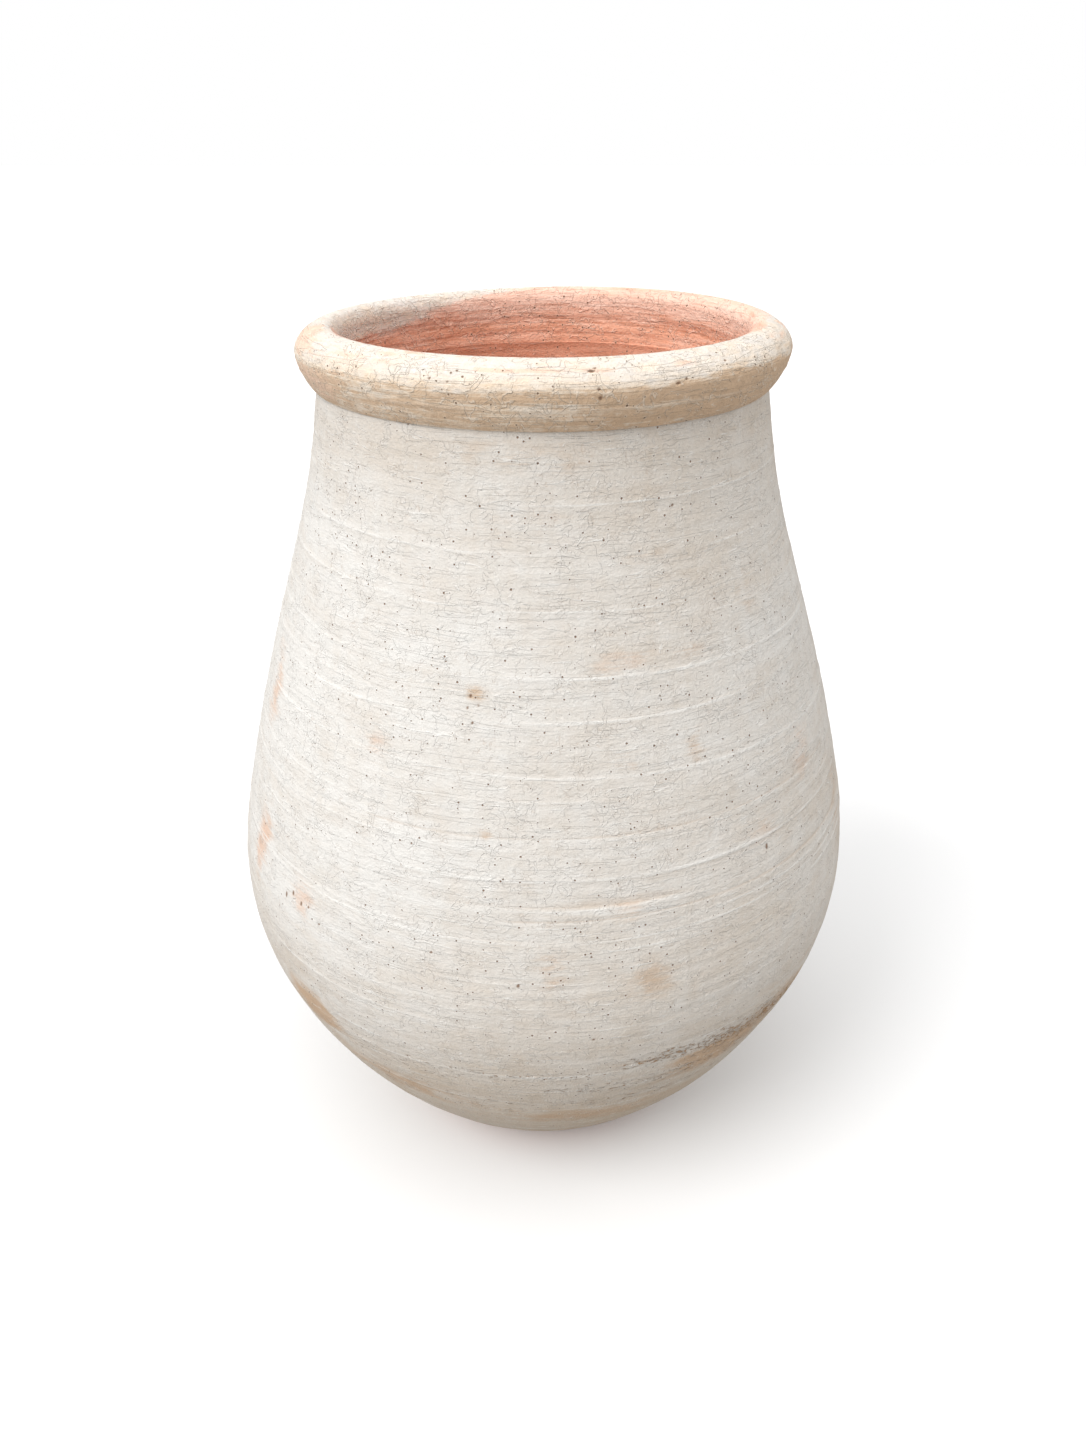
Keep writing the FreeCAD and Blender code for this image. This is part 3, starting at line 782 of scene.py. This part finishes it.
def makeBlotchGroup():
    # where the wash is thin: soft clouds with crisp inner flakes, a little wider than they are tall
    tree, given = openGroup("Thin wash", Position=(0, 0, 0), Scale=14.0, Cover=0.5, Soft=0.12)
    place = vectorMaths(tree, "MULTIPLY", given["Position"], (0.7, 0.7, 1.25))
    cloud = noise(tree, place, given["Scale"], 5.0, 0.58, 0.3)
    flake = noise(tree, place, times(tree, given["Scale"], 9.0), 4.0, 0.65)
    mottle = noise(tree, place, times(tree, given["Scale"], 4.0), 6.0, 0.62)
    low, high = (maths(tree, side, given["Cover"], given["Soft"]) for side in ("SUBTRACT", "ADD"))
    return closeGroup(tree, Cloud=ramp(tree, cloud, low, high), Flake=ramp(tree, flake, 0.46, 0.62),
                      Mottle=mottle)


def makeScrawlGroup():
    # thin raised squiggles: the contour lines of a noise, kept only in scattered patches
    tree, given = openGroup("Scrawls", Position=(0, 0, 0), Scale=60.0, Width=0.018, Patches=45.0, Cover=0.55)
    field = noise(tree, given["Position"], given["Scale"], 1.0, distortion=0.6)
    offLine = maths(tree, "ABSOLUTE", centred(tree, field))
    line = ramp(tree, maths(tree, "DIVIDE", offLine, given["Width"]), 1.0, 0.2)
    place = noise(tree, given["Position"], given["Patches"], 1.0)
    mark = times(tree, line, ramp(tree, place, given["Cover"], maths(tree, "ADD", given["Cover"], 0.06)))
    return closeGroup(tree, Line=mark, Height=times(tree, mark, 0.22))


def makeGrainGroup():
    # brushed wash over gritty clay: a fine grit, and a coarser crust drawn out along the brush
    tree, given = openGroup("Grit and crust", Position=(0, 0, 0), Grit=0.3, Crust=0.4)
    place = vectorMaths(tree, "MULTIPLY", given["Position"], (1, 1, 1.35))
    grit = times(tree, centred(tree, noise(tree, place, 330.0, 2.0, 0.6)), given["Grit"])
    crust = times(tree, centred(tree, noise(tree, place, 95.0, 3.0, 0.7, 0.8)), given["Crust"])
    return closeGroup(tree, Grain=plus(tree, grit, crust))


streakGroup, pinholeGroup = makeStreakGroup(), makePinholeGroup()
blotchGroup, scrawlGroup, grainGroup = makeBlotchGroup(), makeScrawlGroup(), makeGrainGroup()


def makeClay(name, finish):
    # wash over clay: the clay's own colour first, then the wash by its mask, then lines, tears and holes
    material = bpy.data.materials.new(name)
    material.use_nodes = True
    tree = material.node_tree
    shader = tree.nodes["Principled BSDF"]
    position = addNode(tree, "TexCoord").outputs["Object"]
    masks = {key: addNode(tree, "Attribute", attribute_name=key).outputs["Fac"] for key in
             ("warmth", "tan", "peach", "relief", "line", "pitted", "lime", "fresh", "torn", "turning")}
    streaks = useGroup(tree, streakGroup, Position=position, Turning=masks["turning"], **finish["streaks"])
    holes = useGroup(tree, pinholeGroup, Position=position, **finish["pinholes"])
    blotches = useGroup(tree, blotchGroup, Position=position, **finish["blotches"])
    grain = useGroup(tree, grainGroup, Position=position, **finish["grain"])["Grain"]
    scrawls = useGroup(tree, scrawlGroup, Position=position, **finish["scrawls"])
    # the same squiggles taken from elsewhere are cracks, and drawn out round the jar they are hairlines
    aside = vectorMaths(tree, "ADD", position, finish["crackPlace"])
    cracks = useGroup(tree, scrawlGroup, Position=aside, **finish["cracks"])
    ringed = ringPlace(tree, position, masks["turning"], *finish["hairStretch"])
    hairlines = useGroup(tree, scrawlGroup, Position=ringed, **finish["hairlines"])
    streak, flake, mottle = streaks["Streak"], blotches["Flake"], centred(tree, blotches["Mottle"])

    # bare clay, darker in its grooves as painted shade and in its own dark streaks, and paler where it is
    # fresh
    grooveShadeAndStreaks = ramp(tree, plus(tree, masks["relief"], streak, finish["streakInClay"]), -2.0, 0.4)
    bare = blend(tree, grooveShadeAndStreaks, finish["clayDark"], finish["clay"])
    fresh = plus(tree, times(tree, masks["fresh"], 0.8), streak, finish["streakInFresh"], clamp=True)
    bare = blend(tree, fresh, bare, finish["clayPale"])

    # the wash, from cool white to beige, with tan and peach places broken up by streaks
    warm = plus(tree, masks["warmth"], maths(tree, "SUBTRACT", blotches["Cloud"], 0.4), finish["cloudInWash"])
    warm = plus(tree, warm, streak, finish["streakInWash"])
    warm = plus(tree, warm, mottle, finish["mottle"])
    warm = plus(tree, warm, streaks["Brush"], finish["brushInWash"], clamp=True)
    wash = blend(tree, warm, finish["white"], finish["beige"])
    for tint in ("tan", "peach"):
        broken = plus(tree, plus(tree, masks[tint], mottle, 1.5), streak, finish["streakInTint"])
        amount = times(tree, ramp(tree, broken, 0.05, 0.75), ramp(tree, masks[tint], 0.0, 0.6))
        wash = blend(tree, amount, wash, finish[tint])
    covered = ramp(tree, plus(tree, masks["lime"], centred(tree, flake), 0.3), 0.05, 0.9)
    colour = scaled(tree, blend(tree, covered, bare, wash), plus(tree, 1.0, grain, finish["toneDepth"]))
    pale = blend(tree, covered, finish["clayPale"], finish["pale"])

    # painted shade: tan laid in the grooves and on the low side of each ledge of the throwing lines; painted
    # highlight: pale laid along the ridges, broken up by the mottle, which on the rim also marks the pale
    # crumbs
    paintedGrooveShade = ramp(tree, masks["line"], -0.08, -0.4)
    highlightBreakup = ramp(tree, blotches["Mottle"], 0.38, 0.58, 0.25, 1.0)
    ridge = times(tree, ramp(tree, masks["line"], 0.12, 0.34), highlightBreakup)
    # the wall is torn where a dragged noise passes a threshold, with a raised lip round each tear
    ripped = plus(tree, streaks["Tear"], masks["torn"], 0.2)
    place = ramp(tree, masks["torn"], 0.05, 0.4)
    torn = times(tree, ramp(tree, ripped, 0.675, 0.72), place)
    lip = times(tree, ramp(tree, ripped, 0.62, 0.67), maths(tree, "SUBTRACT", place, torn))
    # the dark laid in pinholes and pits is the clay that they bare, darkened further as painted shade for
    # their depth
    dark = maths(tree, "MAXIMUM", holes["Hole"], ramp(tree, masks["pitted"], 0.2, 0.75))
    # in these layers the groove tan is painted shade and the ridge pale a painted highlight
    layers = (
        (hairlines["Line"], "hairGlow", pale), (paintedGrooveShade, "groovePaintedShade", finish["tan"]),
        (ridge, "ridgeHighlightAndCrumbs", pale), (scrawls["Line"], "scrawlGlow", pale), (holes["Burr"], "burrGlow", pale),
        (lip, "lipGlow", pale), (torn, "tornShade", finish["gouge"]),
        (cracks["Line"], "crackShade", finish["gouge"]), (dark, "holeShade", finish["dark"]),
    )
    for mask, strength, tint in layers:
        colour = blend(tree, times(tree, mask, finish[strength]), colour, tint)
    tree.links.new(colour, shader.inputs["Base Color"])
    rough = ramp(tree, flake, 0.0, 1.0, finish["rough"] - 0.07, finish["rough"])
    tree.links.new(rough, shader.inputs["Roughness"])
    shader.inputs["Specular IOR Level"].default_value = 0.25

    # relief too fine for the mesh, in millimetres
    height = plus(tree, streaks["Height"], holes["Height"])
    for part, rise in ((torn, "tornRise"), (lip, "lipRise"), (cracks["Height"], "crackRise"),
                       (scrawls["Height"], "scrawlRise"), (hairlines["Height"], "hairRise"),
                       (grain, "grainRise"), (flake, "flakeRise")):
        height = plus(tree, height, part, finish[rise])
    bump = addNode(tree, "Bump", {"Height": height, "Strength": 1.0, "Distance": mm})
    tree.links.new(bump.outputs[0], shader.inputs["Normal"])
    return material


wallFinish = {
    "white": (0.80, 0.775, 0.735, 1), "beige": (0.60, 0.49, 0.375, 1), "tan": (0.60, 0.43, 0.29, 1),
    "peach": (0.78, 0.58, 0.46, 1), "pale": (0.90, 0.88, 0.84, 1), "dark": (0.24, 0.14, 0.085, 1),
    "gouge": (0.42, 0.245, 0.125, 1),
    "clay": (0.96, 0.49, 0.325, 1), "clayDark": (0.60, 0.245, 0.145, 1), "clayPale": (1.0, 0.70, 0.57, 1),
    "streaks": {"Threads": 0.4, "Bands": 0.6},
    "pinholes": {"Cell": 0.0058, "Size": 0.2, "Amount": 0.38},
    "blotches": {"Scale": 12.0, "Cover": 0.55},
    "grain": {"Grit": 0.75, "Crust": 1.05},
    "scrawls": {"Scale": 90.0, "Cover": 0.5, "Width": 0.022},
    "cracks": {"Scale": 110.0, "Patches": 60.0, "Cover": 0.54, "Width": 0.016},
    "hairlines": {"Scale": 1.3, "Patches": 1.6, "Cover": 0.45, "Width": 0.013},
    "crackPlace": (0.37, 0.11, 0.23),
    "hairStretch": (2.6, 120.0),  # scale across and up
    # how much of each pattern goes into each colour
    "streakInClay": 2.3, "streakInFresh": 1.3, "streakInWash": -0.55, "streakInTint": -1.6,
    "cloudInWash": 0.16, "brushInWash": 0.3, "mottle": 0.4, "toneDepth": 0.13, "rough": 0.92,
    # the ridge strength paints a highlight, the groove strength paints shade with the tan, and the hole
    # strength paints the dark partly as shade
    "hairGlow": 0.55, "ridgeHighlightAndCrumbs": 0.65, "scrawlGlow": 0.25, "burrGlow": 0.3, "lipGlow": 0.25,
    "groovePaintedShade": 0.22, "tornShade": 0.8, "crackShade": 0.16, "holeShade": 0.9,
    # millimetres that each pattern stands out
    "scrawlRise": 1.9, "hairRise": 1.4, "crackRise": -1.0, "lipRise": 0.25, "tornRise": -0.35,
    "grainRise": 1.0, "flakeRise": 0.16,
}
rimFinish = dict(
    wallFinish,
    white=(0.80, 0.745, 0.685, 1), beige=(0.90, 0.735, 0.56, 1), tan=(0.68, 0.485, 0.325, 1),
    peach=(0.90, 0.65, 0.51, 1), pale=(0.95, 0.84, 0.71, 1),
    streaks={"Threads": 1.2, "Bands": 1.1}, pinholes=dict(wallFinish["pinholes"], Amount=0.4),
    blotches={"Scale": 22.0, "Cover": 0.55}, grain={"Grit": 0.75, "Crust": 1.5},
    scrawls={"Scale": 85.0, "Cover": 0.43, "Width": 0.028},
    hairlines=dict(wallFinish["hairlines"], Cover=0.38),
    # on the rim the ridge strength paints a highlight on the raised lines and the pale of the crumbs
    mottle=1.4, toneDepth=0.24, ridgeHighlightAndCrumbs=0.25, scrawlGlow=0.45, crackShade=0.1,
    scrawlRise=3.4, hairRise=2.2)
clayFinish = dict(wallFinish, pinholes=dict(wallFinish["pinholes"], Amount=0.5))
footFinish = dict(
    wallFinish,
    clay=(0.70, 0.39, 0.26, 1), clayPale=(0.78, 0.52, 0.38, 1), clayDark=(0.38, 0.18, 0.11, 1),
    streaks={"Threads": 0.0, "Bands": 0.0}, hairGlow=0.0, hairRise=0.0)
finishes = {name: makeClay(name, finish) for name, finish in (
    ("limewashed_wall", wallFinish), ("limewashed_rim", rimFinish),
    ("inner_clay", clayFinish), ("foot_clay", footFinish))}
print("clay finished:", len(finishes), "materials")

slots = {"floor_disc": "foot_clay", "floor_corner_coil": "inner_clay", "rim_roll": "limewashed_rim"}
pieceNames = {"floor_disc": "jar_floor", "floor_corner_coil": "corner_coil", "rim_roll": "rolled_rim"}
for nodeName, piece in jarPieces.items():
    bpy.context.scene.collection.objects.link(piece)
    piece.name = pieceNames.get(nodeName, nodeName.replace("_course", "_wall"))
    piece.data.materials.append(finishes[slots.get(nodeName, "limewashed_wall")])
    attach(piece, "root")
    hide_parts(nodeName)

studio = {
    "floorSize": 60.0,
    # seen by the camera the floor is pale enough for the lights to bring it to white; to all other light
    # it is darker, so that it doesn't light up the underside of the jar
    "floorSeen": (0.93, 0.93, 0.93, 1), "floorBounce": (0.46, 0.46, 0.46, 1),
    # the sky is a wide soft glow round one direction: brightness far from it, and in its middle
    "skyLow": 0.47, "skyHigh": 1.54, "skyMiddle": (-0.42, -0.56, 0.71),
    # share of the glow left at the horizon, and the height where it is full
    "skyEdge": 0.06, "skyClear": 0.8,
    # name, power, spread in degrees, where it shines from
    "suns": (("key", 1.5, 34, (-2.1, -1.7, 3.0)), ("edge", 0.58, 50, (2.6, 0.7, 1.9))),
    "aim": (0, 0, 0.55),
    "cameraPlace": (0, -1.2155, 1.1836),
    "cameraPitch": 28.5,  # degrees below level
    "lens": 28.0,
}


def addSun(name, power, spread, place):
    lamp = bpy.data.lights.new(name, "SUN")
    lamp.angle = math.radians(spread)
    lamp.energy = power
    sun = bpy.data.objects.new(name, lamp)
    sun.location = place
    right, away, up = (aim - start for aim, start in zip(studio["aim"], place))
    sun.rotation_euler = (math.atan2(math.hypot(right, away), -up), 0, math.atan2(-right, away))
    bpy.context.scene.collection.objects.link(sun)


def addSky():
    # soft sky: brightest up in front on the left, and plain white behind the jar
    world = bpy.data.worlds.new("studio")
    world.use_nodes = True
    tree = world.node_tree
    way = addNode(tree, "TexCoord").outputs["Generated"]
    dot = addNode(tree, "VectorMath", {0: way, 1: studio["skyMiddle"]}, operation="DOT_PRODUCT")
    glow = ramp(tree, dot.outputs["Value"], -0.3, 1.0, studio["skyLow"], studio["skyHigh"])
    height = addNode(tree, "SeparateXYZ", {0: way}).outputs["Z"]
    glow = times(tree, glow, ramp(tree, height, 0.0, studio["skyClear"], studio["skyEdge"], 1.0))
    rays = addNode(tree, "LightPath").outputs["Is Camera Ray"]
    seen = addNode(tree, "Mix", {0: rays, 2: glow, 3: 1.0}).outputs[0]
    tree.links.new(seen, tree.nodes["Background"].inputs["Strength"])
    tree.nodes["Background"].inputs["Color"].default_value = (1, 1, 1, 1)
    bpy.context.scene.world = world


def addStage():
    half = studio["floorSize"] / 2
    mesh = bpy.data.meshes.new("floor")
    corners = [(-half, -half, 0), (half, -half, 0), (half, half, 0), (-half, half, 0)]
    mesh.from_pydata(corners, [], [(0, 1, 2, 3)])
    floor = bpy.data.objects.new("floor", mesh)
    pale = bpy.data.materials.new("paleFloor")
    pale.use_nodes = True
    tree = pale.node_tree
    shader = tree.nodes["Principled BSDF"]
    rays = addNode(tree, "LightPath").outputs["Is Camera Ray"]
    seen = blend(tree, rays, studio["floorBounce"], studio["floorSeen"])
    tree.links.new(seen, shader.inputs["Base Color"])
    shader.inputs["Roughness"].default_value = 1.0
    shader.inputs["Specular IOR Level"].default_value = 0.0
    mesh.materials.append(pale)
    bpy.context.scene.collection.objects.link(floor)
    for sun in studio["suns"]:
        addSun(*sun)
    addSky()
    bpy.context.scene.view_settings.view_transform = "Standard"


def addCamera():
    lens = bpy.data.cameras.new("camera")
    lens.lens = studio["lens"]
    lens.sensor_width = 36.0
    camera = bpy.data.objects.new("camera", lens)
    camera.location = studio["cameraPlace"]
    camera.rotation_euler = (math.radians(90 - studio["cameraPitch"]), 0, 0)
    bpy.context.scene.collection.objects.link(camera)
    bpy.context.scene.camera = camera


addStage()
addCamera()
print("studio lit")
